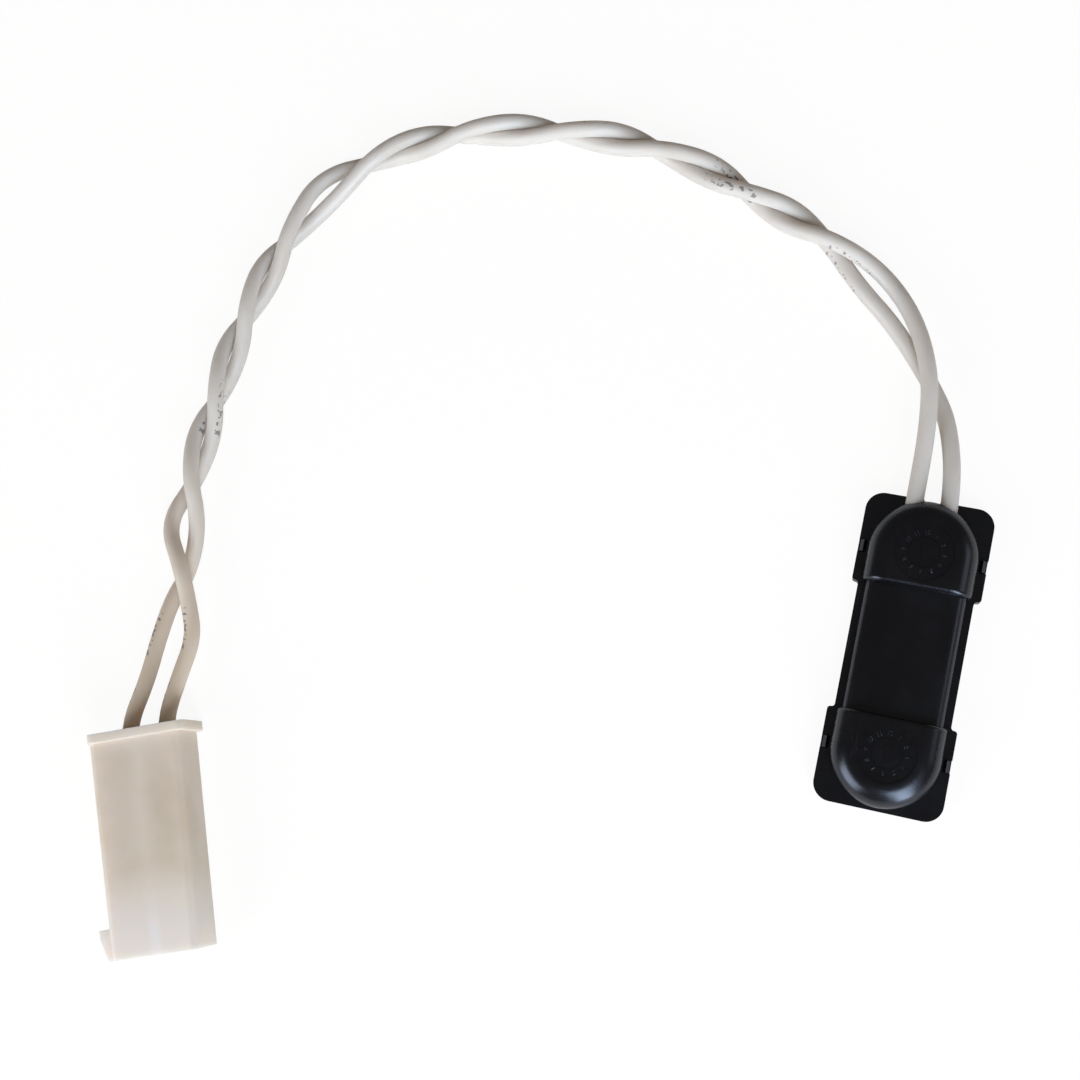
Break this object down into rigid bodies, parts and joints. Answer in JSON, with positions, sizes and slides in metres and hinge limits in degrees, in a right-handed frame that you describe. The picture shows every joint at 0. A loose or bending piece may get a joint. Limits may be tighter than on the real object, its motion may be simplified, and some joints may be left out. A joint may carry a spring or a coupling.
{
  "type": "fridge thermistor",
  "caption": "Flat black snap-together temperature sensor case with two round humps, a twisted pair of leads and a two-way plug.",
  "frame": {"origin": "middle of the case's flat back", "axes": "+Y along the case towards the end that the leads leave from, +Z out of the flat back through the humps, +X across the case"},
  "size_m": [0.1061, 0.1187, 0.0074],
  "materials": {
    "cover_plastic": "satin black moulded plastic with a fine texture",
    "base_plastic": "satin black moulded plastic",
    "wire_insulation": "soft off-white insulation",
    "copper_strand": "bare copper strand",
    "contact_metal": "tin-plated folded sheet",
    "splice_metal": "tin-plated crimp sleeve",
    "leg_metal": "tinned wire",
    "sleeve_plastic": "thin insulating tube",
    "bead_resin": "dipped resin",
    "potting": "cured potting resin",
    "plug_plastic": "milky natural nylon"
  },
  "bodies": {
    "root": {"sensor_cover": "cover_plastic", "sensor_base": "base_plastic", "wire_left": "wire_insulation", "wire_right": "wire_insulation", "wire_core_plug_left": "copper_strand", "wire_core_plug_right": "copper_strand", "wire_core_case_left": "copper_strand", "wire_core_case_right": "copper_strand", "contact_left": "contact_metal", "contact_right": "contact_metal", "splice_sleeve_left": "splice_metal", "splice_sleeve_right": "splice_metal", "thermistor_leg_left": "leg_metal", "thermistor_leg_right": "leg_metal", "leg_sleeve_left": "sleeve_plastic", "leg_sleeve_right": "sleeve_plastic", "thermistor_bead": "bead_resin", "potting_resin": "potting", "plug_housing": "plug_plastic"}
  },
  "joints": []
}
